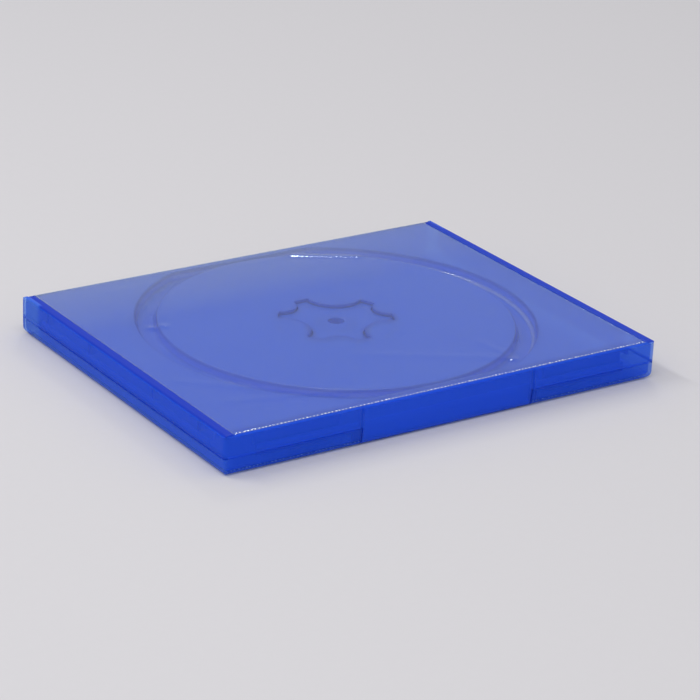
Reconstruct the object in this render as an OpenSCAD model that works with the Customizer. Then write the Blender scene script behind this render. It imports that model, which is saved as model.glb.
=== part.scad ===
// Disc case for a game disc: a hinged plastic case with a clear outer sleeve.
// It lies closed on its front cover, with the disc tray on top and the spine at +Y.
// X runs along the spine, Y from the opening edge to the spine, Z up. All sizes in millimetres.

/* [Case] */
// Length of the case along the spine
case_l = 170; // [168:1:180]
// Width from the opening edge to the spine
case_w = 135; // [135:1:142]
// Thickness of the closed case
case_h = 14; // [14:0.5:16]
// Height of the parting line between the two halves
split_z = 6.4; // [6:0.1:6.8]
// Rounding of the bottom edges round the front cover
cover_edge_r = 2.4; // [1.5:0.1:2.6]
// How far the front cover's walls lean in below the parting line
cover_lean = 0.5; // [0:0.1:0.6]
// Rounding of the top edges round the disc tray
tray_edge_r = 1; // [0.4:0.1:1.4]
// Rounding of the end walls' corners at the spine
spine_edge_r = 3; // [2.8:0.1:3.2]
// Rounding of the upright corners
corner_r = 1.5; // [0.5:0.1:2]

/* [Walls] */
// Thickness of the flat panels and of the spine
panel_t = 1.1; // [0.9:0.1:1.3]
// Thickness of the disc tray's outer walls
wall_t = 1.1; // [0.9:0.1:1.3]
// Running gap between the two halves
gap = 0.25; // [0.2:0.05:0.35]
// Gap along the parting line
parting_gap = 0.15; // [0.1:0.05:0.2]
// Thickness of the tongue on the front cover's walls
tongue_t = 0.8; // [0.6:0.1:1]
// Height of the tongue above the parting line
tongue_h = 1.9; // [1:0.1:2]
// Thickness of the disc tray's inner walls
inner_wall_t = 1; // [0.8:0.1:1.2]
// Distance from the outside of the case to the inner walls' outer faces
inner_wall_inset = 3.3; // [3.2:0.1:3.6]
// Height of the inner walls' lower edge above the floor
inner_wall_z = 7.4; // [7.2:0.1:8]
// Gap between the skirt and the start of the inner walls
inner_wall_start = 7; // [5:0.5:9]
// Length of plain outer wall left beside each corner
corner_free = 12.5; // [11:0.5:14]
// Thickness of the small cross ribs between the outer and the inner end walls
cross_rib_t = 0.8; // [0.6:0.1:1]
// Width of the grip skirt in the middle of the opening edge
skirt_w = 67; // [50:1:70]

/* [Living hinges] */
// Thickness of the hinge webs
web_t = 0.4; // [0.3:0.05:0.5]
// Gap between a web and the panel that it bends from
web_gap = 0.3; // [0.3:0.05:0.4]

/* [Disc ring] */
// Radius of the ring's inner wall on the disc side
ring_in_r = 60.2; // [60.2:0.1:60.6]
// Radius of the groove's outer edge on the outside of the tray
ring_out_r = 68.5; // [67:0.1:69]
// Depth of the groove below the outside of the tray
ring_depth = 3.6; // [3:0.1:3.8]
// Thickness of the plastic round the groove
ring_t = 1; // [0.8:0.1:1.1]
// How far each ring wall leans over its height
ring_lean = 0.5; // [0.2:0.1:0.8]
// Rounding of the corners at the groove's floor
groove_floor_r = 1.6; // [1:0.1:1.8]
// Rounding of the groove's rims
groove_rim_r = 0.5; // [0.3:0.1:0.6]

/* [Hub] */
// Radius of the hub's tips
hub_tip_r = 19.5; // [19:0.1:19.8]
// Thickness of the hub's spring plate
hub_plate_t = 1.1; // [0.9:0.1:1.2]
// Depth of the spring plate below the outside of the tray
hub_sink = 1; // [1:0.1:1.2]
// Slot between the spring plate and the tray
hub_slot = 0.4; // [0.3:0.05:0.5]
// Radius of the toothed ring that fills the disc's hole
hub_ring_r = 7.3; // [7.1:0.05:7.4]
// How far the teeth's lips stand out past the toothed ring
hub_lip = 0.35; // [0.2:0.05:0.4]
// Play between the disc and the teeth's lips
hub_grip = 0.2; // [0.1:0.05:0.3]
// Number of teeth
hub_teeth = 8; // [6:1:10]
// Radius of the press button
button_r = 4.6; // [4:0.1:4.8]
// Radius of the hollow in the back of the press button
button_hollow_r = 2.8; // [2:0.1:3]
// Height of the disc's seat above the inside of the tray
seat_h = 1.9; // [1.6:0.1:2]
// Radius of the outer faces of the disc's three seats
seat_r = 21.5; // [21:0.1:22]
// Thickness of the seats
seat_t = 1.2; // [1:0.1:1.4]
// Angle that each seat runs through
seat_angle = 26; // [20:1:32]

/* [Booklet clips] */
// Radius of the half-round clips
clip_r = 7; // [6:0.5:8]
// Distance of the clips from the middle of the case, along the spine
clip_x = 50; // [40:1:55]
// Distance of the clips' walls from the hinge edge of the cover
clip_back = 4; // [3:0.5:6]
// Clear height under the clips
clip_clear = 2.7; // [2.4:0.1:2.8]
// Thickness of the clips
clip_t = 1; // [0.8:0.1:1.1]

/* [Sleeve] */
// Thickness of the clear film
film_t = 0.12; // [0.08:0.01:0.15]
// Length of the film along the spine
film_l = 162.4; // [160:0.1:162.6]
// Depth of the panels' recess under the film
film_recess = 0.2; // [0.2:0.01:0.25]
// Distance of the film's edge from the start of the edge's rounding
film_margin = 0.8; // [0.6:0.1:1.2]

/* [Hidden] */
$fn = 96;
eps = 0.01;
far = 200;
// How deep a rib or a clip is sunk into the wall that carries it
root = 0.3;
blue = [0.18, 0.33, 0.82, 0.8];
hub_blue = [0.14, 0.27, 0.76, 0.85];
film_tint = [0.86, 0.9, 1, 0.3];

// Half sizes of the closed case
hx = case_l / 2;
hy = case_w / 2;
// Inner faces of the tray's outer walls, then of the cover's walls
tray_x = hx - wall_t;
tray_y = hy - wall_t;
cover_x = tray_x - gap;
cover_y = tray_y - gap;
// Outer faces of the two panels under the film, and their inner faces
low_out = film_recess;
low_in = low_out + panel_t;
top_out = case_h - film_recess;
top_in = top_out - panel_t;
// Half length of the film and of its recess
film_clear = 0.3;
film_x = film_l / 2;
recess_x = film_x + film_clear;
// The webs bend on circles about these two lines, parallel to X
web_r = spine_edge_r - film_recess;
web_y = hy - spine_edge_r;
web_low_z = spine_edge_r;
web_top_z = case_h - spine_edge_r;
// Far edge of the panels, next to the webs
panel_far = web_y - web_gap;
// Outer face of the spine under the film
spine_y = hy - film_recess;
spine_x = cover_x - gap;
// Inner walls of the tray
inner_x = hx - inner_wall_inset;
inner_y = hy - inner_wall_inset;
// Notch in the cover's near wall that the skirt drops into
notch_x = skirt_w / 2 + gap;
// Ends of the inner walls and of the tongue
run_x = hx - corner_free;
run_y = hy - corner_free;
// Lower edge of the disc ring's plastic, and the disc seat's level
ring_floor = top_out - ring_depth;
ring_crest = ring_floor - ring_t;
seat_z = top_in - seat_h;
// Flat ends of the groove and of its ridge, clear of the thinned edge beside the web
hinge_cut = panel_t - web_t;
ridge_flat = panel_far - hinge_cut;
groove_flat = ridge_flat - ring_t;
// Tongue's height above the floor
tongue_top = split_z + tongue_h;
// Hub plate
plate_top = top_out - hub_sink;
plate_low = plate_top - hub_plate_t;

// A box between two opposite corners
module span(lo, hi) {
    translate(lo)
        cube(hi - lo);
}

// The same shape on both sides of the YZ plane
module both_x() {
    children();
    mirror([1, 0, 0])
        children();
}

// The same shape on both sides of the XZ plane
module both_y() {
    children();
    mirror([0, 1, 0])
        children();
}

// A flat outline in Y and Z, drawn out along X
module along_x(half) {
    rotate([90, 0, 90])
        linear_extrude(2 * half, center = true)
            children();
}

// A flat outline in X and Z, drawn out along Y
module along_y(half) {
    rotate([90, 0, 0])
        linear_extrude(2 * half, center = true)
            children();
}

// Half of a cross-section of the closed case, from its middle out to one side
module side_outline(reach, low_r, top_r, lean) {
    foot = reach - lean;
    polygon([[0, low_r], [foot, low_r], [reach, split_z], [reach, case_h - top_r], [0, case_h - top_r]]);
    square([foot - low_r, low_r + eps]);
    translate([foot - low_r, low_r])
        circle(low_r);
    translate([0, split_z])
        square([reach - top_r, case_h - split_z]);
    translate([reach - top_r, case_h - top_r])
        circle(top_r);
}

// Plan of the closed case
module plan_outline() {
    square([case_l - 2 * corner_r, case_w], center = true);
    square([case_l, case_w - 2 * corner_r], center = true);
    for (x = [-1, 1], y = [-1, 1])
        translate([x * (hx - corner_r), y * (hy - corner_r)])
            circle(corner_r);
}

// The whole outer form of the closed case, solid
module case_form() {
    intersection() {
        along_y(hy + 1)
            both_x()
                side_outline(hx, cover_edge_r, tray_edge_r, cover_lean);
        along_x(hx + 1) {
            side_outline(hy, spine_edge_r, spine_edge_r, 0);
            mirror([1, 0])
                side_outline(hy, cover_edge_r, tray_edge_r, cover_lean);
        }
        linear_extrude(case_h)
            plan_outline();
    }
}

// Hollow of the front cover: its lower edges are rounded, and it is open at the spine
module cover_hollow() {
    r = cover_edge_r / 2;
    intersection() {
        along_y(far)
            both_x() {
                translate([0, low_in])
                    square([cover_x - r, far]);
                translate([0, low_in + r])
                    square([cover_x, far]);
                translate([cover_x - r, low_in + r])
                    circle(r);
            }
        along_x(far) {
            translate([r - cover_y, low_in])
                square([far, far]);
            translate([-cover_y, low_in + r])
                square([far, far]);
            translate([r - cover_y, low_in + r])
                circle(r);
        }
    }
}

// The four booklet clips' places, each child facing the middle of the cover
module at_clips() {
    both_x()
        both_y()
            translate([clip_x, panel_far - clip_back, 0])
                children();
}

// Half disc with its flat side on the X axis
module half_disc(r) {
    intersection() {
        circle(r);
        translate([-r, -r])
            square([2 * r, r]);
    }
}

// One booklet clip: an upright wall with a half-round tab over the booklet
module booklet_clip() {
    translate([0, 0, low_in + clip_clear])
        linear_extrude(clip_t)
            half_disc(clip_r);
    span([-clip_r, -eps, low_in - root], [clip_r, clip_t, low_in + clip_clear + clip_t]);
}

// Tongue that the disc tray's walls slide over, with a low bead near the opening corners
module cover_tongue() {
    low = split_z - 1.8;
    bead_l = 10;
    bead_r = 0.5;
    bead_sink = 0.35;
    bead_drop = 0.8;
    bead_end = run_x - 12;
    both_x() {
        span([cover_x - tongue_t, -run_y, low], [cover_x + eps, run_y, tongue_top]);
        span([notch_x, -cover_y - eps, low], [run_x, tongue_t - cover_y, tongue_top]);
        translate([bead_end - bead_l, bead_sink - cover_y, tongue_top - bead_drop])
            rotate([0, 90, 0])
                cylinder(bead_l, bead_r, bead_r);
    }
}

// Low wall of the cover behind the tray's skirt, which laps past the notch on both sides
module notch_wall() {
    lap = 3;
    intersection() {
        case_form();
        span([-notch_x - lap, -cover_y - eps, 0], [notch_x + lap, wall_t - cover_y, tongue_top]);
    }
}

// Openings in the cover under the clips, a little smaller than the clips
module clip_windows() {
    margin = 0.5;
    at_clips()
        linear_extrude(low_in + eps)
            half_disc(clip_r - margin);
}

// Front cover: panel, walls up to the parting line, tongue, clips and the notch for the skirt
module front_cover() {
    wall_top = split_z - parting_gap;
    color(blue)
        difference() {
            union() {
                difference() {
                    case_form();
                    span([-far, -far, wall_top], [far, far, far]);
                    cover_hollow();
                    span([-cover_x, panel_far, -1], [cover_x, far, far]);
                    span([-notch_x, -far, -1], [notch_x, -cover_y, far]);
                }
                cover_tongue();
                notch_wall();
                at_clips()
                    booklet_clip();
            }
            span([-recess_x, -far, -1], [recess_x, far, low_out]);
            clip_windows();
            hinge_chamfer(low_in, 1);
        }
}

// Cuts a panel's inner edge down to the thickness of a hinge web
module hinge_chamfer(inner_z, side) {
    start = panel_far - hinge_cut;
    along_x(cover_x + eps)
        polygon([[panel_far + eps, inner_z + side * eps], [start, inner_z + side * eps], [start, inner_z],
                 [panel_far, inner_z - side * hinge_cut], [panel_far + eps, inner_z - side * hinge_cut]]);
}

// Quarter of a ring in Y and Z, which turns a web or the film round a corner of the spine
module quarter_ring(inner_r, outer_r, side) {
    translate([web_y, side > 0 ? web_top_z : web_low_z])
        intersection() {
            difference() {
                circle(outer_r);
                circle(inner_r);
            }
            translate([0, side > 0 ? 0 : -far])
                square([far, far]);
        }
}

// Thin web between the front cover and the spine
module front_hinge() {
    color(blue)
        along_x(spine_x)
            quarter_ring(web_r - web_t, web_r, -1);
}

// Thin web between the spine and the disc tray
module rear_hinge() {
    color(blue)
        along_x(spine_x)
            quarter_ring(web_r - web_t, web_r, 1);
}

// Flat spine, thinned at its edges to the webs, with one low stiffening rib inside
module spine() {
    inner = spine_y - panel_t;
    thin = inner + hinge_cut;
    rib_h = 0.5;
    rib_t = 0.8;
    color(blue)
        difference() {
            union() {
                along_x(spine_x)
                    polygon([[hy, web_low_z], [hy, web_top_z], [thin, web_top_z],
                             [inner, web_top_z - hinge_cut], [inner, web_low_z + hinge_cut],
                             [thin, web_low_z]]);
                span([-run_x, inner - rib_h, case_h / 2], [run_x, inner + eps, case_h / 2 + rib_t]);
            }
            span([-recess_x, spine_y, -1], [recess_x, far, far]);
        }
}

// Section of a trough, from one wall to the other at its mouth. The walls lean, and the corners at the
// floor and the rims are round. Their circles overlap the lines that they round off by a hair.
module trough_section(start, end, low, high, floor_r, rim_r) {
    lap = 0.01;
    tilt = atan(ring_lean / (high - low));
    reach = tan(45 - tilt / 2);
    half = (end - start) / 2;
    floor_at = floor_r - lap;
    foot = half - ring_lean - floor_at * reach;
    rim_at = rim_r - lap;
    rim_x = half + rim_at * reach;
    rim_low = high - rim_at * (1 - sin(tilt));
    translate([(start + end) / 2, 0])
        both_x() {
            polygon([[0, low], [foot, low], [foot + floor_at * cos(tilt), low + floor_at * (1 - sin(tilt))],
                     [half, high], [half, high + eps], [0, high + eps]]);
            translate([foot, low + floor_at])
                circle(floor_r);
            difference() {
                translate([half - rim_r, rim_low])
                    square([rim_x - half + rim_r, high + eps - rim_low]);
                translate([rim_x, high - rim_at])
                    circle(rim_r);
            }
        }
}

// A round trough about the hub's axis, ended by straight walls beside the long edges.
// Their section is a hair deeper, so that the round trough's floor runs through to them.
module ring_trough(in_r, out_r, low, high, flat, floor_r, rim_r) {
    deeper = 0.02;
    intersection() {
        rotate_extrude($fn = 180)
            trough_section(in_r, out_r, low, high, floor_r, rim_r);
        along_x(far)
            trough_section(-flat, flat, low - deeper, high, floor_r, rim_r);
    }
}

// Spring plate of the hub: three forked arms between three deep and three shallow scallops.
// grow makes the opening round it, wider by the slot.
module hub_star(grow) {
    deep_r = 10.5;
    deep_at = 22;
    shallow_r = 6.3;
    shallow_at = 21.8;
    difference() {
        circle(hub_tip_r + grow);
        for (a = [0, 120, 240]) {
            rotate(a)
                translate([shallow_at, 0])
                    circle(shallow_r - grow);
            rotate(a + 60)
                translate([deep_at, 0])
                    circle(deep_r - grow);
        }
    }
}

// Three short curved walls that the disc's plain inner band rests on
module disc_seats() {
    for (a = [60, 180, 300])
        translate([0, 0, seat_z])
            rotate([0, 0, a - seat_angle / 2])
                rotate_extrude(angle = seat_angle)
                    translate([seat_r - seat_t, 0])
                        square([seat_t, seat_h + root]);
}

// Walls inside the tray's outer walls, with small cross ribs at the two ends
module tray_inner_walls() {
    wall_start = skirt_w / 2 + inner_wall_start;
    half_t = cross_rib_t / 2;
    rib_low = tongue_top + 0.5;
    rib_outer = run_y - 5;
    rib_inner = rib_outer - 29;
    both_x() {
        span([inner_x - inner_wall_t, -run_y, inner_wall_z], [inner_x, run_y, top_in + eps]);
        span([wall_start, -inner_y, inner_wall_z], [run_x, inner_wall_t - inner_y, top_in + eps]);
        both_y()
            for (y = [rib_inner, rib_outer])
                translate([0, y, rib_low])
                    span([inner_x - eps, -half_t, 0], [tray_x + eps, half_t, top_in - rib_low + eps]);
    }
}

// Ridge on the disc side of the tray that stands round the groove
module tray_ridge() {
    floor_r = groove_floor_r + ring_t;
    ring_trough(ring_in_r, ring_out_r + ring_t, ring_crest, top_in, ridge_flat, floor_r, groove_rim_r);
}

// Groove in the outside of the tray, which makes the wall round the disc
module tray_groove() {
    in_r = ring_in_r + ring_t;
    ring_trough(in_r, ring_out_r, ring_floor, top_out, groove_flat, groove_floor_r, groove_rim_r);
}

// Disc tray: panel and outer walls above the parting line, skirt, inner walls, ring and seats
module disc_tray() {
    color(blue)
        difference() {
            union() {
                difference() {
                    case_form();
                    span([-far, -far, -1], [far, far, split_z]);
                    span([-tray_x, -tray_y, -1], [tray_x, far, top_in]);
                    span([-tray_x, panel_far, -1], [tray_x, far, far]);
                }
                intersection() {
                    case_form();
                    span([-skirt_w / 2, -far, 0], [skirt_w / 2, -tray_y, split_z + eps]);
                }
                tray_inner_walls();
                tray_ridge();
                disc_seats();
            }
            tray_groove();
            translate([0, 0, top_in - eps])
                linear_extrude(panel_t + 2 * eps)
                    hub_star(hub_slot);
            span([-recess_x, -far, top_out], [recess_x, far, far]);
            hinge_chamfer(top_in, -1);
        }
}

// Ring of sprung teeth whose lips hold the disc by its hole
module hub_tooth_ring() {
    disc_t = 1.2;
    tooth_t = 1.4;
    tip_t = 0.9;
    lip_h = 0.7;
    slot_w = 1.2;
    under_disc = seat_z - disc_t - hub_grip;
    tip = under_disc - 2 * lip_h;
    inner_r = hub_ring_r - tooth_t;
    difference() {
        rotate_extrude()
            polygon([[inner_r, tip], [inner_r + tip_t, tip], [hub_ring_r + hub_lip, under_disc - lip_h],
                     [hub_ring_r, under_disc], [hub_ring_r, plate_low + eps], [inner_r, plate_low + eps]]);
        for (a = [0 : 360 / hub_teeth : 359])
            rotate(a)
                span([0, -slot_w / 2, tip - 1], [far, slot_w / 2, plate_low - root]);
    }
}

// Sprung hub: the star-shaped plate, the toothed ring and the press button in its middle
module hub_button() {
    button_low = seat_z - 2.4;
    button_taper = 0.6;
    crown_t = 1;
    color(hub_blue)
        difference() {
            union() {
                translate([0, 0, plate_low])
                    linear_extrude(hub_plate_t)
                        hub_star(0);
                hub_tooth_ring();
                translate([0, 0, button_low])
                    cylinder(plate_low - button_low + eps, button_r - button_taper, button_r);
            }
            translate([0, 0, button_low + crown_t])
                cylinder(far, button_hollow_r, button_hollow_r);
        }
}

// Film over the front cover
module sleeve_front() {
    color(film_tint)
        span([-film_x, film_margin - hy + cover_edge_r, low_out - film_t], [film_x, panel_far, low_out]);
}

// Film round the spine and its two webs
module sleeve_spine() {
    color(film_tint)
        along_x(film_x) {
            quarter_ring(web_r, web_r + film_t, 1);
            quarter_ring(web_r, web_r + film_t, -1);
            translate([spine_y, web_low_z])
                square([film_t, web_top_z - web_low_z]);
        }
}

// Film over the disc tray
module sleeve_rear() {
    color(film_tint)
        span([-film_x, film_margin - hy, top_out], [film_x, panel_far, top_out + film_t]);
}

front_cover();
front_hinge();
spine();
rear_hinge();
disc_tray();
hub_button();
sleeve_front();
sleeve_spine();
sleeve_rear();
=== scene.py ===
"""Dresses the game disc case: translucent blue plastic, a clear film sleeve, its weld and its two bending webs."""

import logging
import math
from dataclasses import dataclass, field
from enum import Enum
from typing import Iterable, Sequence, TypeVar

import bmesh
import bpy
from mathutils import Matrix, Vector, noise


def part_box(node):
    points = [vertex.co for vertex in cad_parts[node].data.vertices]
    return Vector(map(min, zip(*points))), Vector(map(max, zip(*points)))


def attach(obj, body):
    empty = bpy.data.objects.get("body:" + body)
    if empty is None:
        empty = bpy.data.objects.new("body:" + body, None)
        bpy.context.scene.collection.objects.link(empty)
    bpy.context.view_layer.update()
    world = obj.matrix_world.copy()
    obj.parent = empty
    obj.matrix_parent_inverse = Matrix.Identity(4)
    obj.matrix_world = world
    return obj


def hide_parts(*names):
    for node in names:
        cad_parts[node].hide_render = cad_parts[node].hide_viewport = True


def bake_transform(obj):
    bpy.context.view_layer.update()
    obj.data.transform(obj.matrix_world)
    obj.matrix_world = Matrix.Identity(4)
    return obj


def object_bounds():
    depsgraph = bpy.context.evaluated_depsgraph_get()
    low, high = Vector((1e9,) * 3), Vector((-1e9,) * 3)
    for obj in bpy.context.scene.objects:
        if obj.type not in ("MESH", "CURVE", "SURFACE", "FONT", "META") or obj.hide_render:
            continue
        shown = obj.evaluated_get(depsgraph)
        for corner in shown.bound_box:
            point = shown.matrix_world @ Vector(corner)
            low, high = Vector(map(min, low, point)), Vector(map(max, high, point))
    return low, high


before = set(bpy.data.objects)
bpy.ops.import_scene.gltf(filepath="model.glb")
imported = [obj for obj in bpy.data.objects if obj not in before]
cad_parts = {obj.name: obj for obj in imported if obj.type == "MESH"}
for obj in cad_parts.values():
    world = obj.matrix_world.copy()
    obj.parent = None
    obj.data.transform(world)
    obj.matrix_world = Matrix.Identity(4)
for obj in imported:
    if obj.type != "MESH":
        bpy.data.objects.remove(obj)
cad_box = [list(corner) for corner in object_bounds()]

LOG = logging.getLogger("disc_case")
MM = 0.001
Colour = tuple[float, float, float]
Point = tuple[float, float, float]
T = TypeVar("T")


class Body(Enum):
    """The four bodies of the case that move on their own."""

    FRONT = "front_cover"
    SPINE = "spine"
    TRAY = "disc_tray"
    HUB = "hub"


class Slot(Enum):
    """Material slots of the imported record."""

    CASE = "blue_plastic"
    HUB = "hub_plastic"
    FILM = "clear_film"


class Side(Enum):
    """Which panel of the case a piece belongs to: the one it lies on, or the one on top."""

    LOWER = 1
    UPPER = -1

    @property
    def out(self) -> int:
        """The way out of the case along Z, as a sign."""
        return -self.value

    def pick(self, lower: T, upper: T) -> T:
        """The value that belongs to this side."""
        return lower if self is Side.LOWER else upper


class Wire:
    """A shader value that Python's operators work on, each adding its Math node."""

    def __init__(self, tree: "NodeSheet", socket: bpy.types.NodeSocket) -> None:
        """Keeps the node tree and the output socket that carries the value."""
        self.tree = tree
        self.socket = socket

    def _with(self, operation: str, *values: object) -> "Wire":
        """Adds one Math node on values and returns its output."""
        return self.tree.node("ShaderNodeMath", {"operation": operation}, list(values))

    def __add__(self, other: object) -> "Wire":
        """Sum."""
        return self._with("ADD", self, other)

    def __radd__(self, other: object) -> "Wire":
        """Sum, from the right."""
        return self._with("ADD", other, self)

    def __sub__(self, other: object) -> "Wire":
        """Difference."""
        return self._with("SUBTRACT", self, other)

    def __rsub__(self, other: object) -> "Wire":
        """Difference, from the right."""
        return self._with("SUBTRACT", other, self)

    def __mul__(self, other: object) -> "Wire":
        """Product."""
        return self._with("MULTIPLY", self, other)

    def __rmul__(self, other: object) -> "Wire":
        """Product, from the right."""
        return self._with("MULTIPLY", other, self)

    def __truediv__(self, other: object) -> "Wire":
        """Quotient."""
        return self._with("DIVIDE", self, other)

    def __pow__(self, other: object) -> "Wire":
        """Power."""
        return self._with("POWER", self, other)

    def __abs__(self) -> "Wire":
        """Size without sign."""
        return self._with("ABSOLUTE", self)

    def least(self, other: object) -> "Wire":
        """The smaller of two values."""
        return self._with("MINIMUM", self, other)

    def most(self, other: object) -> "Wire":
        """The greater of two values."""
        return self._with("MAXIMUM", self, other)

    def clamped(self) -> "Wire":
        """The value held between 0 and 1."""
        return self.tree.node("ShaderNodeMath", {"operation": "ADD", "use_clamp": True}, [self, 0.0])

    def above(self, edge: float, soft: float) -> "Wire":
        """A mask that rises from 0 at edge to 1 at edge + soft."""
        return ((self - edge) / soft).clamped()

    def near(self, place: float, reach: float) -> "Wire":
        """A mask that is 1 at place and falls to 0 at reach from it."""
        return (1 - abs(self - place) / reach).clamped()


class NodeSheet:
    """The node tree of one material."""

    def __init__(self, name: str) -> None:
        """Starts an empty material of that name."""
        self.material = bpy.data.materials.new(name)
        self.material.use_nodes = True
        self.nodes = self.material.node_tree.nodes
        self.links = self.material.node_tree.links
        self.nodes.clear()

    def node(self, kind: str, settings: dict[str, object], values: object = (), output: int | str = 0) -> Wire:
        """Adds a node.

        Args:
            kind: The node's type.
            settings: Its own settings; "stops" holds a ramp's stops as (place, colour).
            values: Values or wires for its inputs, as a list in order or a dict by name.
            output: The name or number of the output that the returned wire carries.

        Returns:
            The wire from that output.
        """
        made = self.nodes.new(kind)
        for name, value in settings.items():
            if name == "stops":
                self._set_stops(made, value)
            else:
                setattr(made, name, value)
        pairs = values.items() if isinstance(values, dict) else enumerate(values)
        for name, value in pairs:
            if isinstance(value, Wire):
                self.links.new(value.socket, made.inputs[name])
            elif value is not None:
                made.inputs[name].default_value = value
        return Wire(self, made.outputs[output])

    @staticmethod
    def _set_stops(ramp: bpy.types.Node, stops: Sequence[tuple[float, Colour]]) -> None:
        """Puts stops, each a place and a colour, on a ramp node."""
        elements = ramp.color_ramp.elements
        while len(elements) < len(stops):
            elements.new(0.5)
        for element, (place, colour) in zip(elements, stops):
            element.position = place
            element.color = (*colour, 1.0)

    def noise(self, scale: float, detail: float = 2.0, stretch: Point = (1.0, 1.0, 1.0)) -> Wire:
        """A noise between 0 and 1 in the object's own metres.

        Args:
            scale: Waves in each metre.
            detail: Octaves of finer noise.
            stretch: Scale along each axis before the noise is read.

        Returns:
            The noise value.
        """
        place = self.node("ShaderNodeTexCoord", {}, output="Object")
        turned = self.node("ShaderNodeMapping", {}, {"Vector": place, "Scale": stretch})
        return self.node("ShaderNodeTexNoise", {}, {"Vector": turned, "Scale": scale, "Detail": detail})

    def mix_colours(self, factor: Wire, low: Colour | Wire, high: Colour | Wire) -> Wire:
        """A colour that runs from low to high as factor goes from 0 to 1."""
        ends = [end if isinstance(end, Wire) else (*end, 1.0) for end in (low, high)]
        values = {"Factor_Float": factor, "A_Color": ends[0], "B_Color": ends[1]}
        mixer = self.nodes.new("ShaderNodeMix")
        mixer.data_type = "RGBA"
        for socket in mixer.inputs:
            value = values.get(socket.identifier)
            if isinstance(value, Wire):
                self.links.new(value.socket, socket)
            elif value is not None:
                socket.default_value = value
        return Wire(self, next(out for out in mixer.outputs if out.identifier == "Result_Color"))

    def parts(self, vector: Wire) -> tuple[Wire, Wire, Wire]:
        """The three parts of a vector."""
        split = self.node("ShaderNodeSeparateXYZ", {}, [vector]).socket.node
        return tuple(Wire(self, out) for out in split.outputs)

    def bump(self, height: Wire, depth: float, strength: float = 1.0) -> Wire:
        """A normal that follows height, with depth in metres."""
        return self.node("ShaderNodeBump", {}, {"Height": height, "Distance": depth, "Strength": strength})

    def finish(self, shader: Wire) -> bpy.types.Material:
        """Sends shader to the surface output and returns the material."""
        made = self.nodes.new("ShaderNodeOutputMaterial")
        self.links.new(shader.socket, made.inputs["Surface"])
        return self.material

    def place(self) -> tuple[Wire, Wire, Wire]:
        """The place on the object, as x, y and z in metres."""
        return self.parts(self.node("ShaderNodeTexCoord", {}, output="Object"))


@dataclass(frozen=True)
class MouldedPlaces:
    """Places on the moulding that the plastic's masks follow, in metres.

    Attributes:
        skin: Depth of the outer walls' skin, measured in from the case's outside.
        joint_skin: The same where a thin dark line is drawn on a wall.
        joint_x: Place of the joint at each end of the skirt, along the spine.
        parting_z: Height of the parting line.
        band_end: Width of the moulded band at each end of the top.
        band_z: Height above which that band lies.
        top_z: Height above which the tray's outside lies.
        groove_out: Radius of the groove's outer edge.
        groove_flat: Distance of the groove's straight ends from the hub's axis.
        outer_rim: Radius of the painted shade line along the groove's outer rim.
        inner_rim: Radius of the fainter painted shade line and the faint painted glint along its inner rim.
        corner: Radius of the rounded corner at its floor.
        floor_low: Lowest height of that corner.
        floor_high: Highest height of that corner.
        ridge_in: Radius inside which nothing belongs to the groove.
        ridge_out: Radius outside which nothing belongs to the groove.
        star_tip: Radius of the tips of the hub's opening.
        star_end: Radius that the scallops' lines end at.
        scallops: Distance from the axis and radius of the shallow scallops, then of the deep ones.
    """

    skin: float = 1.45 * MM
    joint_skin: float = 1.3 * MM
    joint_x: float = 33.9 * MM
    parting_z: float = 6.35 * MM
    band_end: float = 3.2 * MM
    band_z: float = 13.6 * MM
    top_z: float = 12.5 * MM
    groove_out: float = 68.5 * MM
    groove_flat: float = 62.5 * MM
    outer_rim: float = 68.6 * MM
    inner_rim: float = 61.3 * MM
    corner: float = 67.4 * MM
    floor_low: float = 10 * MM
    floor_high: float = 11.6 * MM
    ridge_in: float = 24 * MM
    ridge_out: float = 71 * MM
    star_tip: float = 19.9 * MM
    star_end: float = 20 * MM
    scallops: tuple[tuple[float, float], ...] = ((21.8 * MM, 5.9 * MM), (22.0 * MM, 10.1 * MM))


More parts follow.
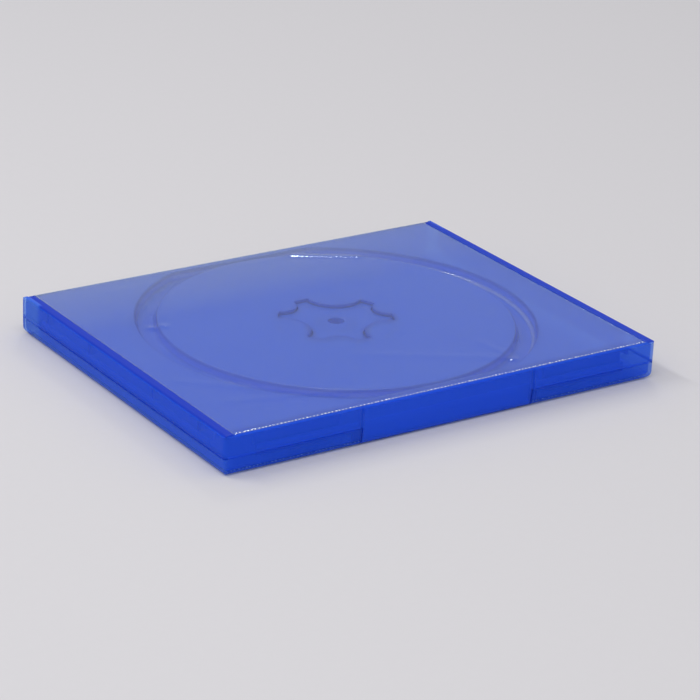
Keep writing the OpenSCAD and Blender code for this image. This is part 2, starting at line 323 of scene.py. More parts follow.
@dataclass(frozen=True)
class TranslucentPlastic:
    """Blue polypropylene: part of the light passes each skin, the rest is scattered inside in deep blue.

    A sheet of it looks deeper where it is seen along its length: at cut ends, inner walls, rims and outlines.
    Thin dark lines along the groove's rims, round the hub's opening and a darker band at the right end are
    painted shade; the paler walls beside the spine and low on the ends are painted light; a pale mirror on
    the groove's rounded floor corner is a painted glint.

    Attributes:
        name: The material's name.
        sizes: The case's sizes, which say where its outer walls are.
        colour: Colour of the scattered light.
        deep: Colour in the darker flow marks.
        line: Colour of the cut ends, inner walls and rims.
        joint_and_shade_colour: Colour of the thin dark lines: real ones along the joints and the parting line,
            and painted shade along the groove's rims, round the hub's opening and on the right end's band.
        pale: Painted light: colour that makes the outer walls next to the spine and the low part of the end walls
            paler, where light comes through the spine from behind and up from the floor.
        tint: Colour that each skin gives to the light that passes it.
        panel_share: Share of the light that each skin of a panel holds back.
        wall_share: The same for the outer walls.
        line_share: The same for the cut ends, inner walls and rims.
        gloss: Roughness of the smooth skin.
        painted_glint: Share of a pale mirror painted on the groove's rounded floor corner, on the ring's right
            part, and faintly on its inner rim: a painted glint.
        places: Places on the moulding that the masks follow.
    """

    name: str
    sizes: "CaseSizes"
    colour: Colour = (0.03, 0.145, 1.0)
    deep: Colour = (0.026, 0.125, 0.97)
    line: Colour = (0.007, 0.045, 0.62)
    joint_and_shade_colour: Colour = (0.002, 0.022, 0.26)
    pale: Colour = (0.12, 0.32, 1.0)
    tint: Colour = (0.72, 0.88, 1.0)
    panel_share: float = 0.5
    wall_share: float = 0.42
    line_share: float = 0.96
    gloss: float = 0.08
    painted_glint: float = 0.45
    places: MouldedPlaces = MouldedPlaces()

    def deep_places(self, sheet: NodeSheet) -> tuple[Wire, ...]:
        """Where the plastic is seen along its length.

        Args:
            sheet: The material's node tree.

        Returns:
            Six masks: the outer walls' skins, the groove's walls, the cut ends and inner walls, the thin
            dark lines (real joints and painted shade), the painted glint on the groove's rounded corner, and the
            painted light on the walls beside the spine and low on the ends.
        """
        s, p = self.sizes, self.places
        x, y, z = sheet.place()
        lean_x, lean_y, lean_z = sheet.parts(sheet.node("ShaderNodeTexCoord", {}, output="Normal"))
        thin = 0.05 * MM
        steep = 1 - abs(lean_z).above(0.3, 0.3)
        from_end = s.half_length - abs(x)
        from_front = y + s.half_width
        wall = 1 - from_end.least(from_front).above(p.skin, thin)

        faces_end, faces_front = abs(lean_x).above(0.5, 0.3), abs(lean_y).above(0.5, 0.3)
        front_cut = faces_end * (1 - from_front.above(2.6 * MM, thin)) * from_end.above(3 * MM, thin)
        end_cut = faces_front * (1 - from_end.above(4 * MM, thin)) * from_front.above(3 * MM, thin)
        cuts = steep * (front_cut + end_cut)
        joint = abs(x).near(p.joint_x, 0.6 * MM) * (1 - from_front.above(p.joint_skin, thin))
        parting = z.near(p.parting_z, 0.4 * MM) * (1 - from_end.above(p.joint_skin, thin))

        radius = (x * x + y * y) ** 0.5
        ring = radius.most(abs(y) * (p.groove_out / p.groove_flat))
        in_ring = radius.above(p.ridge_in, MM) * (1 - ring.above(p.ridge_out, MM))
        outside = z.above(p.top_z, 0.2 * MM)
        inner_rim = radius.near(p.inner_rim, 0.6 * MM)
        # Painted shade: thin dark lines along the groove's outer rim and, fainter, its inner rim.
        rims = ring.near(p.outer_rim, 0.5 * MM) + 0.35 * inner_rim
        hub = self.hub_outline(sheet, x, y, radius)

        past_button, past_hub = radius.above(5 * MM, thin), radius.above(p.ridge_in, thin)
        inner = steep * (1 - wall) * (1 - in_ring) * (0.6 * past_button + 0.4 * past_hub)
        margin = (1 - from_end.above(p.band_end, 0.3 * MM)) * z.above(p.band_z, 0.2 * MM)
        lines = (inner + margin + cuts).clamped()
        # A darker line 3.2 mm in from the opening edge, on the top away from the ends.
        front_line = from_front.near(3.2 * MM, 1.4 * MM) * from_end.above(4 * MM, thin)
        # Painted shade: dark lines on the top round the hub's opening, stronger on the near half than the far half.
        hub_shade_line = (0.9 - 0.5 * y.above(0.0, thin)) * hub * (1 - steep)
        top_lines = 0.6 * rims + hub_shade_line + 0.55 * front_line
        # The bands at both ends are darker; the right one is darker still, which is painted shade.
        margin_line_and_shade = (0.6 + 0.22 * x.above(0.0, 10 * MM)) * margin
        # Thin dark lines: the joints at the skirt's ends and the parting line are real; the lines along the rims,
        # round the hub and the extra darkening of the right end's band are painted shade.
        marks = (outside * top_lines + margin_line_and_shade + 0.6 * joint + 0.95 * parting).clamped()

        # Painted light: the low part of the end walls, lit from the floor, and the outer walls within 11 mm of the
        # spine side, lit through the spine from behind, are made paler.
        floor_lit_end = (1 - from_end.above(p.skin, thin)) * (1 - z.above(6.0 * MM, thin))
        pale = (wall * (1 - (s.half_width - y).above(11 * MM, 2 * MM)) + 0.35 * floor_lit_end).clamped()
        in_groove = z.above(p.floor_low, thin) * (1 - z.above(p.floor_high, thin))
        # Painted glint: a pale mirror on the groove's rounded floor corner on the ring's right part, and faintly on
        # its inner rim.
        glint_corner = ring.near(p.corner, 0.9 * MM) * in_groove * x.above(20 * MM, 10 * MM)
        painted_glint = (glint_corner + 0.25 * outside * inner_rim).clamped()
        return wall * steep, steep * in_ring, lines, marks, painted_glint, pale

    def hub_outline(self, sheet: NodeSheet, x: Wire, y: Wire, radius: Wire) -> Wire:
        """Mask of the line round the hub's opening.

        Args:
            sheet: The material's node tree.
            x: Place along the spine.
            y: Place across the case.
            radius: Distance from the hub's axis.

        Returns:
            A mask that is 1 on the line.
        """
        third = math.pi / 3
        turn = sheet.node("ShaderNodeMath", {"operation": "ARCTAN2"}, [y, x])
        folded = sheet.node("ShaderNodeMath", {"operation": "PINGPONG"}, [turn, third])
        reach, thin = 1.7 * MM, 0.1 * MM
        tips = radius.near(self.places.star_tip, reach)
        arcs = 0.0
        for at, (away, scallop) in zip((0.0, third), self.places.scallops):
            cosine = sheet.node("ShaderNodeMath", {"operation": "COSINE"}, [folded - at])
            distance = (radius * radius + away * away - 2 * away * radius * cosine) ** 0.5
            tips = tips * distance.above(scallop, thin)
            arcs = distance.near(scallop, reach) + arcs
        return (tips + arcs * (1 - radius.above(self.places.star_end, thin))).clamped()

    def build(self) -> bpy.types.Material:
        """Builds the material."""
        sheet = NodeSheet(self.name)
        flow = sheet.noise(22.0, 3.0, (1.0, 1.6, 3.0))
        pebble = sheet.noise(420.0, 2.0)
        wall, groove, lines, marks, painted_glint, pale = self.deep_places(sheet)
        facing = sheet.node("ShaderNodeLayerWeight", {}, {"Blend": 0.5}, output="Facing")
        outline = facing.above(0.8, 0.15)
        lines = (lines + outline).clamped()
        colour = sheet.mix_colours(lines, sheet.mix_colours(flow, self.colour, self.deep), self.line)
        # Dark lines: real joints and parting line, and painted shade along the rims, round the hub and at the right
        # end.
        colour = sheet.mix_colours(marks, colour, self.joint_and_shade_colour)
        # Painted light: paler walls beside the spine and low on the ends.
        colour = sheet.mix_colours(0.6 * pale, colour, self.pale)
        roughness = self.gloss + 0.05 * flow
        rounded = sheet.node("ShaderNodeBevel", {"samples": 4}, {"Radius": 0.5 * MM})
        normal = sheet.node("ShaderNodeBump", {}, {
            "Height": pebble * 0.35 + flow, "Distance": 0.06 * MM, "Strength": 0.5, "Normal": rounded})
        base = self.panel_share + (self.wall_share - self.panel_share) * wall + 0.2 * groove
        share = base + (self.line_share - base) * lines.most(marks)
        skin = sheet.node("ShaderNodeBsdfPrincipled", {}, {
            "Base Color": colour, "Roughness": roughness, "Normal": normal, "IOR": 1.45,
            "Specular IOR Level": 0.2})
        dull = sheet.node("ShaderNodeBsdfPrincipled", {}, {
            "Base Color": (*self.line, 1.0), "Roughness": 0.6, "Specular IOR Level": 0.0})
        clear = sheet.node("ShaderNodeBsdfTransparent", {}, {"Color": (*self.tint, 1.0)})
        # Outlines and dark lines, painted shade among them, turn dull and dark.
        body = sheet.node("ShaderNodeMixShader", {}, [outline.most(0.7 * marks), skin, dull])
        # Painted glint: a pale metal mirror mixed in where the glint mask lies.
        mirror = sheet.node("ShaderNodeBsdfPrincipled", {}, {
            "Base Color": (0.8, 0.88, 1.0, 1.0), "Roughness": 0.1, "Metallic": 1.0, "Normal": normal})
        bright = sheet.node("ShaderNodeMixShader", {}, [self.painted_glint * painted_glint, body, mirror])
        return sheet.finish(sheet.node("ShaderNodeMixShader", {}, [share, clear, bright]))


@dataclass(frozen=True)
class ClearFilm:
    """Thin glossy film: seen through straight on, and mirror-like at a low angle.

    Attributes:
        name: The material's name.
        edge_y: Place of the welded edge across the case.
        welded: Share that is added along the weld.
        head_on: Share of the light that each face mirrors straight on.
        shine: How strongly it mirrors towards a low angle.
        haze: Share that always shows as haze.
        slack: Share that is added towards the spine, less towards the right end: painted sheen that makes that
            part of the film paler.
        roughness: Roughness of its gloss.
    """

    name: str
    edge_y: float
    welded: float = 0.07
    head_on: float = 0.03
    shine: float = 0.6
    haze: float = 0.008
    slack: float = 0.09
    roughness: float = 0.06

    def build(self) -> bpy.types.Material:
        """Builds the material."""
        sheet = NodeSheet(self.name)
        ripple = sheet.noise(35.0, 3.0, (1.0, 2.0, 1.0))
        fine = sheet.noise(900.0, 2.0)
        normal = sheet.bump(ripple + fine * 0.04, 0.08 * MM, 0.4)
        facing = sheet.node("ShaderNodeLayerWeight", {}, {"Blend": 0.5, "Normal": normal}, output="Facing")
        x, y, _ = sheet.place()
        # Painted sheen: the film mirrors more towards the spine and less towards the right end.
        loose = y.above(25 * MM, 35 * MM) * (1 - 0.5 * x.above(20 * MM, 60 * MM))
        weld = 1 - y.above(self.edge_y + 0.35 * MM, 0.25 * MM)
        beads = sheet.noise(900.0, 1.0).above(0.5, 0.1) * sheet.noise(40.0, 1.0).above(0.4, 0.2)
        share = (self.head_on + self.shine * facing ** 5 + self.haze * (1 + ripple) + self.slack * loose
                 + self.welded * weld * (0.3 + 1.4 * beads)).clamped()
        clear = sheet.node("ShaderNodeBsdfTransparent", {}, {"Color": (0.975, 0.975, 0.955, 1.0)})
        skin = sheet.node("ShaderNodeBsdfPrincipled", {}, {
            "Base Color": (0.72, 0.86, 0.97, 1.0), "Roughness": self.roughness, "Metallic": 0.85, "Normal": normal})
        shader = sheet.node("ShaderNodeMixShader", {}, [share, clear, skin])
        return sheet.finish(shader)


@dataclass(frozen=True)
class MeltedFilm:
    """Milky beads of film that the weld leaves.

    Attributes:
        name: The material's name.
        colour: Colour of the beads.
        body: How solid they look, before the cloudiness is added.
    """

    name: str
    colour: Colour = (0.85, 0.92, 1.0)
    body: float = 0.95

    def build(self) -> bpy.types.Material:
        """Builds the material."""
        sheet = NodeSheet(self.name)
        cloud = sheet.noise(260.0, 1.0)
        shader = sheet.node("ShaderNodeBsdfPrincipled", {}, {
            "Base Color": (*self.colour, 1.0), "Roughness": 0.2 + 0.1 * cloud, "Alpha": self.body * (0.5 + cloud)})
        return sheet.finish(shader)


@dataclass(frozen=True)
class StudioPaper:
    """Matt pale paper of the floor.

    Attributes:
        name: The material's name.
        colour: Colour of the paper.
    """

    name: str
    colour: Colour = (0.64, 0.63, 0.654)

    def build(self) -> bpy.types.Material:
        """Builds the material."""
        sheet = NodeSheet(self.name)
        grain = sheet.noise(300.0, 2.0)
        colour = sheet.mix_colours(grain, self.colour, tuple(c * 0.985 for c in self.colour))
        shader = sheet.node("ShaderNodeBsdfPrincipled", {}, {
            "Base Color": colour, "Roughness": 0.9, "Specular IOR Level": 0.1})
        return sheet.finish(shader)


class MeshTools:
    """Small helpers that turn points and faces into finished objects."""

    @staticmethod
    def make(name: str, points: Iterable[Point], faces: Iterable[Sequence[int]],
             smooth: bool = True) -> bpy.types.Object:
        """Makes an object whose faces point outwards.

        Args:
            name: The object's name.
            points: Its vertices, in metres in the case's frame.
            faces: Its faces.
            smooth: Whether faces blend across flat edges.

        Returns:
            The object.
        """
        mesh = bpy.data.meshes.new(name)
        mesh.from_pydata([tuple(p) for p in points], [], [tuple(f) for f in faces])
        work = bmesh.new()
        work.from_mesh(mesh)
        bmesh.ops.recalc_face_normals(work, faces=work.faces)
        work.to_mesh(mesh)
        work.free()
        for polygon in mesh.polygons:
            polygon.use_smooth = smooth
        made = bpy.data.objects.new(name, mesh)
        bpy.context.scene.collection.objects.link(made)
        return made

    @staticmethod
    def sheet_solid(name: str, top: list[list[Point]], low: list[list[Point]]) -> bpy.types.Object:
        """A closed thin sheet between two grids of points of the same size.

        Args:
            name: The object's name.
            top: Rows of points of one face.
            low: Rows of points of the other face.

        Returns:
            The object.
        """
        rows, columns = len(top), len(top[0])
        points = [p for row in top for p in row] + [p for row in low for p in row]
        half = rows * columns

        def at(r: int, c: int, layer: int = 0) -> int:
            """Number of the point at a row and a column, in the first or the second grid."""
            return layer * half + r * columns + c

        faces: list[tuple[int, ...]] = []
        for r in range(rows - 1):
            for c in range(columns - 1):
                faces.append((at(r, c), at(r, c + 1), at(r + 1, c + 1), at(r + 1, c)))
                faces.append((at(r, c, 1), at(r + 1, c, 1), at(r + 1, c + 1, 1), at(r, c + 1, 1)))
        for r in range(rows - 1):
            for c in (0, columns - 1):
                faces.append((at(r, c), at(r + 1, c), at(r + 1, c, 1), at(r, c, 1)))
        for c in range(columns - 1):
            for r in (0, rows - 1):
                faces.append((at(r, c), at(r, c + 1), at(r, c + 1, 1), at(r, c, 1)))
        return MeshTools.make(name, points, faces)


@dataclass
class CaseSizes:
    """Places on the case that the added pieces follow, read from the frame and in metres.

    Attributes:
        half_length: Half the case's length along the spine.
        half_width: Half its width.
        height: Its thickness.
        panel_far: Edge of the panels next to the webs.
        film_half: Half the film's length.
        web_half: Half the webs' length.
        spine_low: Height of the line that the front web bends round.
        spine_high: Height of the line that the rear web bends round.
        bend_y: Place of both lines across the case.
        web_outer: Radius of the webs' outer faces.
        web_inner: Radius of their inner faces.
        web_thickness: Thickness of the webs.
        film_gap: Room between a panel and the film.
        film_thickness: Thickness of the film.
    """

    half_length: float = field(init=False)
    half_width: float = field(init=False)
    height: float = field(init=False)
    panel_far: float = field(init=False)
    film_half: float = field(init=False)
    web_half: float = field(init=False)
    spine_low: float = field(init=False)
    spine_high: float = field(init=False)
    bend_y: float = field(init=False)
    web_outer: float = field(init=False)
    web_inner: float = field(init=False)
    web_thickness: float = 0.4 * MM
    film_gap: float = 0.03 * MM
    film_thickness: float = 0.1 * MM

    def __post_init__(self) -> None:
        """Reads the nodes' boxes."""
        low, high = Vector(cad_box[0]), Vector(cad_box[1])
        self.half_length, self.half_width, self.height = high.x, -low.y, high.z
        web_low, web_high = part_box("front_hinge")
        self.web_half = web_high.x
        self.bend_y = web_low.y
        self.spine_low = web_high.z
        self.web_outer = web_high.y - web_low.y
        self.web_inner = self.web_outer - self.web_thickness
        self.spine_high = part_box("rear_hinge")[0].z
        film_low, film_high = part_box("sleeve_rear")
        self.film_half = film_high.x
        self.panel_far = film_high.y


@dataclass
class HingeWeb:
    """Thin bending web between the spine and one panel.

    Attributes:
        sizes: The case's sizes.
        side: The panel that it joins to the spine.
        steps: Faces round its bend.
        seam: Room left at both of its ends.
    """

    sizes: CaseSizes
    side: Side
    steps: int = 16
    seam: float = 0.02 * MM

    @property
    def name(self) -> str:
        """The piece's name."""
        return self.side.pick("front_web", "rear_web")

    @property
    def centre_z(self) -> float:
        """Height of the line that the web bends round."""
        return self.side.pick(self.sizes.spine_low, self.sizes.spine_high)

    def section(self, radius: float) -> list[tuple[float, float]]:
        """The web's line at a radius, from its panel to the spine, as (y, z)."""
        s, sign = self.sizes, self.side.out
        points = [(s.panel_far + self.seam, self.centre_z + sign * radius)]
        for i in range(self.steps + 1):
            turn = math.pi / 2 * i / self.steps
            points.append((s.bend_y + radius * math.sin(turn), self.centre_z + sign * radius * math.cos(turn)))
        y, z = points[-1]
        points[-1] = (y, z + sign * self.seam)
        return points

    def build(self, finish: bpy.types.Material) -> bpy.types.Object:
        """Builds the web and hides its node."""
        s = self.sizes
        spread = [-s.web_half, -s.web_half / 2, 0.0, s.web_half / 2, s.web_half]
        rows = [[[(x, y, z) for x in spread] for y, z in self.section(r)] for r in (s.web_outer, s.web_inner)]
        piece = MeshTools.sheet_solid(self.name, rows[0], rows[1])
        piece.data.materials.append(finish)
        radius = (s.web_outer + s.web_inner) / 2
        start = (0.0, s.bend_y, self.centre_z + self.side.out * radius)
        end = (0.0, s.bend_y + radius, self.centre_z)
        panel, node = self.side.pick((Body.FRONT, "front_hinge"), (Body.TRAY, "rear_hinge"))
        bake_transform(piece)
        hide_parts(node)
        return piece


@dataclass(frozen=True)
class Crease:
    """A soft ridge in the film along a short line.

    Attributes:
        start: One end, as (x, y) in metres.
        end: The other end.
        width: How far it spreads.
        height: How far it stands up.
    """

    start: tuple[float, float]
    end: tuple[float, float]
    width: float
    height: float

    def lift(self, x: float, y: float) -> float:
        """Height of the crease at a place."""
        ax, ay = self.start
        dx, dy = self.end[0] - ax, self.end[1] - ay
        along = ((x - ax) * dx + (y - ay) * dy) / (dx * dx + dy * dy)
        held = min(max(along, 0.0), 1.0)
        away = math.hypot(x - ax - held * dx, y - ay - held * dy)
        return self.height * math.exp(-(away / self.width) ** 2)


@dataclass
class FilmSheet:
    """Half of the clear sleeve: one panel and the spine up to its middle line.

    Attributes:
        sizes: The case's sizes.
        side: The panel that it covers.
        columns: Faces along the spine.
        rows: Faces across the panel.
        arc_steps: Faces round the bend.
        spine_steps: Faces from the bend to the spine's middle line.
        slack: How far it stands off its panel on average.
        held: Distance from its edges over which the slack fades out.
        seam: Room left at the spine's middle line.
        creases: Soft ridges of the film on top.
    """

    sizes: CaseSizes
    side: Side
    columns: int = 200
    rows: int = 150
    arc_steps: int = 14
    spine_steps: int = 3
    slack: float = 0.035 * MM
    held: float = 3 * MM
    seam: float = 0.01 * MM
    creases: tuple[Crease, ...] = (
        Crease((31 * MM, -40 * MM), (33 * MM, -55 * MM), 1.6 * MM, 0.09 * MM),
        Crease((31.8 * MM, -57.6 * MM), (32.2 * MM, -58.2 * MM), 1.5 * MM, 0.37 * MM),
        Crease((-60.6 * MM, 20.6 * MM), (-60.4 * MM, 20.2 * MM), 1.4 * MM, 0.33 * MM),
        Crease((-56.1 * MM, 20.3 * MM), (-55.9 * MM, 19.9 * MM), 1.4 * MM, 0.33 * MM),
        Crease((18.5 * MM, 57.5 * MM), (39 * MM, 45.8 * MM), 1.25 * MM, 0.33 * MM),
        Crease((39 * MM, -50 * MM), (36 * MM, -58 * MM), 1.2 * MM, 0.06 * MM),
        Crease((-76 * MM, -22 * MM), (-30 * MM, -62 * MM), 2.2 * MM, 0.09 * MM),
        Crease((-70 * MM, -44 * MM), (-18 * MM, -58 * MM), 1.8 * MM, 0.07 * MM),
        Crease((-12 * MM, -30 * MM), (28 * MM, -54 * MM), 2.6 * MM, 0.08 * MM),
        Crease((-60 * MM, 56 * MM), (40 * MM, 58 * MM), 1.6 * MM, 0.06 * MM),
    )

    @property
    def name(self) -> str:
        """The piece's name."""
        return self.side.pick("film_lower", "film_upper")

    def ripple(self, x: float, y: float) -> float:
        """How far the film lifts off its panel at a place."""
        broad = noise.noise(Vector((x * 28, y * 34, 3.0 + self.side.value)))
        small = noise.noise(Vector((x * 90, y * 60, 9.0 + self.side.value)))
        lift = self.slack * (1 + 0.7 * broad + 0.3 * small)
        if self.side is Side.UPPER:
            lift += sum(crease.lift(x, y) for crease in self.creases)
        return lift

    def profile(self) -> list[tuple[float, float, float, float, float]]:
        """The film's line from its free edge to the middle of the spine, as (y, z, out y, out z, looseness)."""
        s, sign = self.sizes, self.side.out
        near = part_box(self.side.pick("sleeve_front", "sleeve_rear"))[0].y
        centre = self.side.pick(s.spine_low, s.spine_high)
        radius = s.web_outer + s.film_gap
        line = []
        for i in range(self.rows + 1):
            y = near + (s.bend_y - near) * i / self.rows
            edge = min((y - near) / self.held, (s.bend_y - y) / self.held, 1.0)
            line.append((y, centre + sign * radius, 0.0, float(sign), max(edge, 0.0)))
        for i in range(1, self.arc_steps + 1):
            turn = math.pi / 2 * i / self.arc_steps
            out_y, out_z = math.sin(turn), sign * math.cos(turn)
            line.append((s.bend_y + radius * out_y, centre + radius * out_z, out_y, out_z, 0.0))
        middle = (s.spine_low + s.spine_high) / 2
        seam = self.seam * sign
        for i in range(1, self.spine_steps + 1):
            z = centre + (middle + seam - centre) * i / self.spine_steps
            line.append((s.bend_y + radius, z, 1.0, 0.0, 0.0))
        return line

    def build(self, finish: bpy.types.Material) -> bpy.types.Object:
        """Builds the film and hides the nodes that it stands for."""
        s = self.sizes
        spread = [-s.film_half + 2 * s.film_half * i / self.columns for i in range(self.columns + 1)]
        outer: list[list[Point]] = []
        inner: list[list[Point]] = []
        for y, z, out_y, out_z, loose in self.profile():
            lifts = [self.ripple(x, y) * loose if loose else 0.0 for x in spread]
            inner.append([(x, y + out_y * h, z + out_z * h) for x, h in zip(spread, lifts)])
            t = s.film_thickness
            outer.append([(x, y + out_y * (h + t), z + out_z * (h + t)) for x, h in zip(spread, lifts)])
        piece = MeshTools.sheet_solid(self.name, outer, inner)
        piece.data.materials.append(finish)
        centre = self.side.pick(s.spine_low, s.spine_high)
        start = (0.0, s.bend_y, centre + self.side.out * s.web_outer)
        panel = self.side.pick(Body.FRONT, Body.TRAY)
        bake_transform(piece)
        nodes = self.side.pick(("sleeve_front", "sleeve_spine"), ("sleeve_rear",))
        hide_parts(*nodes)
        return piece


@dataclass
class WeldRow:
    """Row of small melted dots that hold the film to the opening edge of one panel.

    Attributes:
        sizes: The case's sizes.
        side: The panel that it is on.
        pitch: Distance from dot to dot.
        dot: Radius of a dot before it is scaled.
        seed: Seed of the dots' uneven places and sizes.
        shake: How far a dot may lie off its place, along each axis.
        smallest: Smallest scale of a dot, along each axis.
        largest: Largest scale.
        inset: Distance of the row from the film's edge.
        lift_lower: Height of the row above the lower film's outer face.
        lift_upper: Height of the row above the upper film's outer face.
    """

    sizes: CaseSizes
    side: Side
    pitch: float = 1.35 * MM
    dot: float = 0.33 * MM
    seed: int = 7
    shake: Point = (0.25 * MM, 0.08 * MM, 0.0)
    smallest: Point = (0.4, 0.4, 0.2)
    largest: Point = (1.3, 1.1, 0.5)
    inset: float = 0.3 * MM
    lift_lower: float = 0.12 * MM
    lift_upper: float = 0.06 * MM

    @property
    def name(self) -> str:
        """The piece's name."""
        return self.side.pick("weld_lower", "weld_upper")

    def tree(self, finish: bpy.types.Material) -> bpy.types.NodeTree:
        """Geometry nodes that lay dots of uneven size along a line.

        Args:
            finish: The dots' material.

        Returns:
            The node tree, with inputs Start, End, Pitch, Dot and Seed.
        """
        group = bpy.data.node_groups.new(self.name + "_dots", "GeometryNodeTree")
        face = group.interface
        face.new_socket("Geometry", in_out="OUTPUT", socket_type="NodeSocketGeometry")
        for label, kind in (("Start", "NodeSocketVector"), ("End", "NodeSocketVector"),
                            ("Pitch", "NodeSocketFloat"), ("Dot", "NodeSocketFloat"), ("Seed", "NodeSocketInt")):
            face.new_socket(label, in_out="INPUT", socket_type=kind)
        nodes, links = group.nodes, group.links

        def add(kind: str, settings: dict[str, object] | None = None, **inputs: object) -> bpy.types.Node:
            """Adds a node with its settings, and inputs given by name with _ for a space."""
            made = nodes.new(kind)
            for key, value in (settings or {}).items():
                setattr(made, key, value)
            for key, value in inputs.items():
                socket = made.inputs[key.replace("_", " ")]
                if isinstance(value, bpy.types.NodeSocket):
                    links.new(value, socket)
                else:
                    socket.default_value = value
            return made

        given = nodes.new("NodeGroupInput")
        line = add("GeometryNodeCurvePrimitiveLine", Start=given.outputs["Start"], End=given.outputs["End"])
        places = add("GeometryNodeCurveToPoints", {"mode": "LENGTH"}, Curve=line.outputs[0],
                     Length=given.outputs["Pitch"])
        spread = add("FunctionNodeRandomValue", {"data_type": "FLOAT_VECTOR"}, Seed=given.outputs["Seed"])
        spread.inputs[0].default_value = tuple(-away for away in self.shake)
        spread.inputs[1].default_value = self.shake
        shaken = add("GeometryNodeSetPosition", Geometry=places.outputs["Points"], Offset=spread.outputs[0])
        size = add("FunctionNodeRandomValue", {"data_type": "FLOAT_VECTOR"}, Seed=given.outputs["Seed"])
        size.inputs[0].default_value = self.smallest
        size.inputs[1].default_value = self.largest
        ball = add("GeometryNodeMeshUVSphere", Segments=10, Rings=6, Radius=given.outputs["Dot"])
        dots = add("GeometryNodeInstanceOnPoints", Points=shaken.outputs[0], Instance=ball.outputs[0],
                   Scale=size.outputs[0])
        real = add("GeometryNodeRealizeInstances", Geometry=dots.outputs[0])
        round_off = add("GeometryNodeSetShadeSmooth", Geometry=real.outputs[0])
        dressed = add("GeometryNodeSetMaterial", Geometry=round_off.outputs[0], Material=finish)
        links.new(dressed.outputs[0], nodes.new("NodeGroupOutput").inputs[0])
        return group

    def build(self, finish: bpy.types.Material) -> bpy.types.Object:
        """Lays the dots and turns them into a plain mesh that rides on its panel."""
        s = self.sizes
        low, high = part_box(self.side.pick("sleeve_front", "sleeve_rear"))
        z = self.side.pick(low.z + self.lift_lower, high.z + self.lift_upper)
        y = low.y + self.inset
        holder = bpy.data.objects.new(self.name + "_holder", bpy.data.meshes.new(self.name + "_holder"))
        bpy.context.scene.collection.objects.link(holder)
        tree = self.tree(finish)
        modifier = holder.modifiers.new("dots", "NODES")
        modifier.node_group = tree
        values = {"Start": (-s.film_half + MM, y, z), "End": (s.film_half - MM, y, z),
                  "Pitch": self.pitch, "Dot": self.dot, "Seed": self.seed}
        for item in tree.interface.items_tree:
            if item.in_out == "INPUT":
                modifier[item.identifier] = values[item.name]
        evaluated = holder.evaluated_get(bpy.context.evaluated_depsgraph_get())
        mesh = bpy.data.meshes.new_from_object(evaluated)
        mesh.name = self.name
        holder.modifiers.remove(modifier)
        bpy.data.objects.remove(holder)
        piece = bpy.data.objects.new(self.name, mesh)
        bpy.context.scene.collection.objects.link(piece)
        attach(piece, self.side.pick(Body.FRONT, Body.TRAY).value)
        return piece


@dataclass
class DiscCase:
    """The whole case: the moulded nodes, which keep their shape, and the pieces added to them.

    Attributes:
        sizes: The case's sizes.
        plastic: Finish of the moulding.
        hub_plastic: Finish of the hub.
        film: Finish of the sleeve.
        weld: Finish of the weld's dots.
    """

    sizes: CaseSizes
    plastic: TranslucentPlastic
    hub_plastic: TranslucentPlastic
    film: ClearFilm
    weld: MeltedFilm

    def dress_nodes(self) -> bpy.types.Material:
        """Gives the moulded nodes their plastic, and returns the case's."""
        case_finish, hub_finish = self.plastic.build(), self.hub_plastic.build()
        for node in ("front_cover", "spine", "disc_tray"):
            self._dress(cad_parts[node], case_finish)
        self._dress(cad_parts["hub_button"], hub_finish)
        return case_finish

    @staticmethod
    def _dress(node: bpy.types.Object, finish: bpy.types.Material) -> None:
        """Puts one finish on every slot of a node."""
        node.data.materials.clear()
        node.data.materials.append(finish)
        LOG.info("%s dressed in %s", node.name, finish.name)

    def build(self) -> None:
        """Builds and dresses everything."""
        case_finish = self.dress_nodes()
        film_finish = self.film.build()
        made = [HingeWeb(self.sizes, side).build(case_finish) for side in Side]
        made += [FilmSheet(self.sizes, side).build(film_finish) for side in Side]
        weld_finish = self.weld.build()
        made += [WeldRow(self.sizes, side).build(weld_finish) for side in Side]
        for piece in made:
            LOG.info("%s: %d faces", piece.name, len(piece.data.polygons))


@dataclass(frozen=True)
class PhotoCamera:
    """The photograph's viewpoint.

    Attributes:
        azimuth: Degrees round from the opening edge.
        elevation: Degrees above the floor.
        distance: Metres from the case.
        lens: Focal length in millimetres on a sensor 36 mm wide.
        roll: Degrees that the camera is turned about its view.
        aim: Point that the middle of the view passes through.
    """

    azimuth: float = -34.37
    elevation: float = 22.41
    distance: float = 1.0064
    lens: float = 150.49
    roll: float = 2.64
    aim: Point = (7.3 * MM, 1.6 * MM, 0.0)

    def build(self) -> bpy.types.Object:
        """Makes the camera and sets it as the scene's."""
        a, e, r = (math.radians(v) for v in (self.azimuth, self.elevation, self.roll))
        back = Vector((math.sin(a) * math.cos(e), -math.cos(a) * math.cos(e), math.sin(e)))
        level = Vector((math.cos(a), math.sin(a), 0.0))
        rise = back.cross(level)
        right = math.cos(r) * level + math.sin(r) * rise
        up = math.cos(r) * rise - math.sin(r) * level
        data = bpy.data.cameras.new("photo_camera")
        data.lens = self.lens
        data.sensor_width = 36.0
        data.clip_start, data.clip_end = 0.05, 30.0
        made = bpy.data.objects.new("photo_camera", data)
        turned = Matrix((right, up, back)).transposed().to_4x4()
        turned.translation = Vector(self.aim) + back * self.distance
        made.matrix_world = turned
        bpy.context.scene.collection.objects.link(made)
        bpy.context.scene.camera = made
        return made


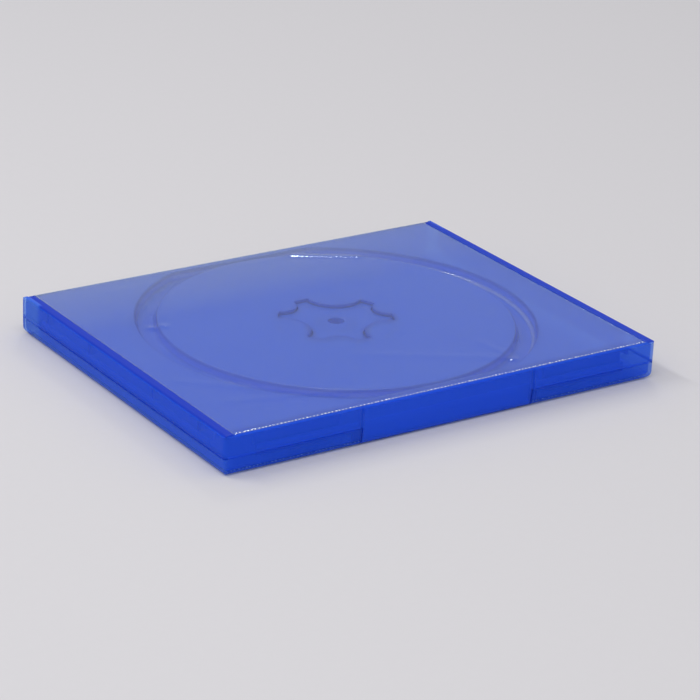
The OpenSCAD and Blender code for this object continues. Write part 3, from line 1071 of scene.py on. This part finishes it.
@dataclass(frozen=True)
class SoftBox:
    """A rectangular studio lamp.

    Attributes:
        name: The lamp's name.
        place: Where it stands, in metres.
        length: Its length in metres.
        width: Its width in metres.
        power: Its power in watts.
        turn: Degrees that its length is turned about the line to the case.
    """

    name: str
    place: Point
    length: float
    width: float
    power: float
    turn: float = 0.0

    def build(self) -> None:
        """Makes the lamp, turned to the case."""
        data = bpy.data.lights.new(self.name, "AREA")
        data.shape = "RECTANGLE"
        data.size, data.size_y = self.length, self.width
        data.energy = self.power
        made = bpy.data.objects.new(self.name, data)
        facing = Vector(self.place).to_track_quat("Z", "Y").to_matrix().to_4x4()
        turned = Matrix.Rotation(math.radians(self.turn), 4, "Z")
        made.matrix_world = Matrix.Translation(self.place) @ facing @ turned
        bpy.context.scene.collection.objects.link(made)


@dataclass
class Studio:
    """Pale floor, even surroundings and soft lamps.

    Attributes:
        camera: The photograph's viewpoint.
        paper: Finish of the floor.
        surround: Strength of the even light from all round.
        floor_half: Half the floor's length and width, in metres.
        lamps: The lamps.
    """

    camera: PhotoCamera = PhotoCamera()
    paper: StudioPaper = StudioPaper("floor_paper")
    surround: float = 0.62
    floor_half: float = 6.0
    lamps: tuple[SoftBox, ...] = (
        SoftBox("key_lamp", (-0.9, -0.5, 1.3), 0.9, 0.9, 3.5),
        SoftBox("left_strip_lamp", (-0.6, 0.41, 0.9), 0.64, 0.03, 3.0, 38.0),
        SoftBox("top_strip_lamp", (-0.13, -0.45, 1.1), 0.64, 0.03, 2.2, -10.0),
        SoftBox("back_lamp", (0.52, 0.8, 0.8), 0.15, 0.15, 0.9),
    )

    def build(self) -> None:
        """Makes the camera, the floor, the surroundings and the lamps."""
        self.camera.build()
        self._floor()
        self._surroundings()
        for lamp in self.lamps:
            lamp.build()
        bpy.context.scene.view_settings.view_transform = "Standard"

    def _floor(self) -> None:
        """A wide flat floor under the case."""
        half = self.floor_half
        corners = [(-half, -half, 0.0), (half, -half, 0.0), (half, half, 0.0), (-half, half, 0.0)]
        floor = MeshTools.make("floor", corners, [(0, 1, 2, 3)], smooth=False)
        floor.data.materials.append(self.paper.build())

    def _surroundings(self) -> None:
        """Even pale light from all round."""
        world = bpy.data.worlds.new("studio")
        bpy.context.scene.world = world
        world.use_nodes = True
        background = world.node_tree.nodes["Background"]
        background.inputs["Color"].default_value = (1.0, 0.995, 1.0, 1.0)
        background.inputs["Strength"].default_value = self.surround


def main() -> None:
    """Builds the studio, reads the case's sizes from its nodes and builds the case."""
    logging.basicConfig(level=logging.INFO, format="%(name)s: %(message)s")
    Studio().build()
    sizes = CaseSizes()
    DiscCase(
        sizes=sizes,
        plastic=TranslucentPlastic("blue_polypropylene", sizes),
        hub_plastic=TranslucentPlastic("blue_hub_polypropylene", sizes),
        film=ClearFilm("clear_sleeve_film", edge_y=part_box("sleeve_rear")[0].y),
        weld=MeltedFilm("melted_film"),
    ).build()


if __name__ == "__main__":
    main()
